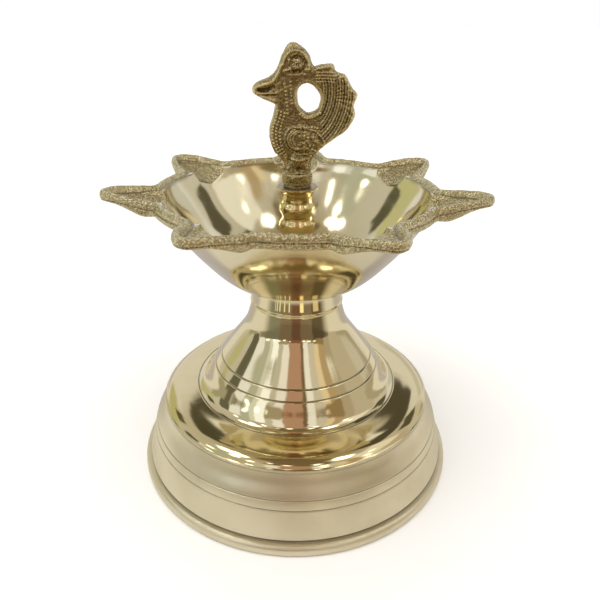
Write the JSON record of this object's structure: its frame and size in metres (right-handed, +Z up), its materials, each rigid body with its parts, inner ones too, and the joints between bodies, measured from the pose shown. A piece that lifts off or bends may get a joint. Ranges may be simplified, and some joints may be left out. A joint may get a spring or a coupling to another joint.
{
  "type": "standing oil lamp",
  "caption": "Standing brass oil lamp with a weighted round foot, a bell stem, a spouted oil bowl and a cast bird finial that unscrews.",
  "frame": {"origin": "on the lamp's axis, in the plane its foot stands on", "axes": "+Z up the lamp's axis, the flat bird plate lies in the XZ plane with its beak towards -X, -Y is the front"},
  "size_m": [0.1352, 0.1347, 0.1638],
  "materials": {
    "brass_satin": "fine turned satin",
    "brass_polished": "polished",
    "brass_bowl": "polished inside and below, sand-cast lips",
    "brass_golden": "polished",
    "brass_antique": "cast, unpolished",
    "steel": "plain",
    "leather_washer": "oiled"
  },
  "bodies": {
    "stand": {"base_shell": "brass_satin", "stem_bell": "brass_polished", "tie_rod": "steel", "base_washer": "steel", "base_nut": "steel"},
    "collar": {"neck_collar": "brass_polished"},
    "bowl": {"oil_bowl": "brass_bowl"},
    "gasket": {"post_gasket": "leather_washer"},
    "post": {"centre_post": "brass_golden"},
    "washer": {"finial_washer": "brass_antique"},
    "finial": {"finial_stud": "brass_golden", "bird_finial": "brass_antique"}
  },
  "joints": [
    {"name": "bowl_lift", "type": "slide", "parent": "stand", "child": "collar", "axis": [0, 0, 1], "range_m": [0, 0.011]},
    {"name": "bowl_turn", "type": "hinge", "parent": "collar", "child": "bowl", "pos_m": [0, 0, 0.0735], "axis": [0, 0, 1], "range_deg": [0, 1981]},
    {"name": "post_lift", "type": "slide", "parent": "bowl", "child": "gasket", "axis": [0, 0, 1], "range_m": [0, 0.009]},
    {"name": "post_turn", "type": "hinge", "parent": "gasket", "child": "post", "pos_m": [0, 0, 0.081], "axis": [0, 0, 1], "range_deg": [0, 2161]},
    {"name": "finial_lift", "type": "slide", "parent": "post", "child": "washer", "axis": [0, 0, 1], "range_m": [0, 0.0084]},
    {"name": "finial_turn", "type": "hinge", "parent": "washer", "child": "finial", "pos_m": [0, 0, 0.1166], "axis": [0, 0, 1], "range_deg": [0, 2521]}
  ],
  "couplings": [
    {"joint": "bowl_turn", "follows": "bowl_lift", "rad_per_m": 3141.6},
    {"joint": "post_turn", "follows": "post_lift", "rad_per_m": 4188.8},
    {"joint": "finial_turn", "follows": "finial_lift", "rad_per_m": 5236}
  ]
}
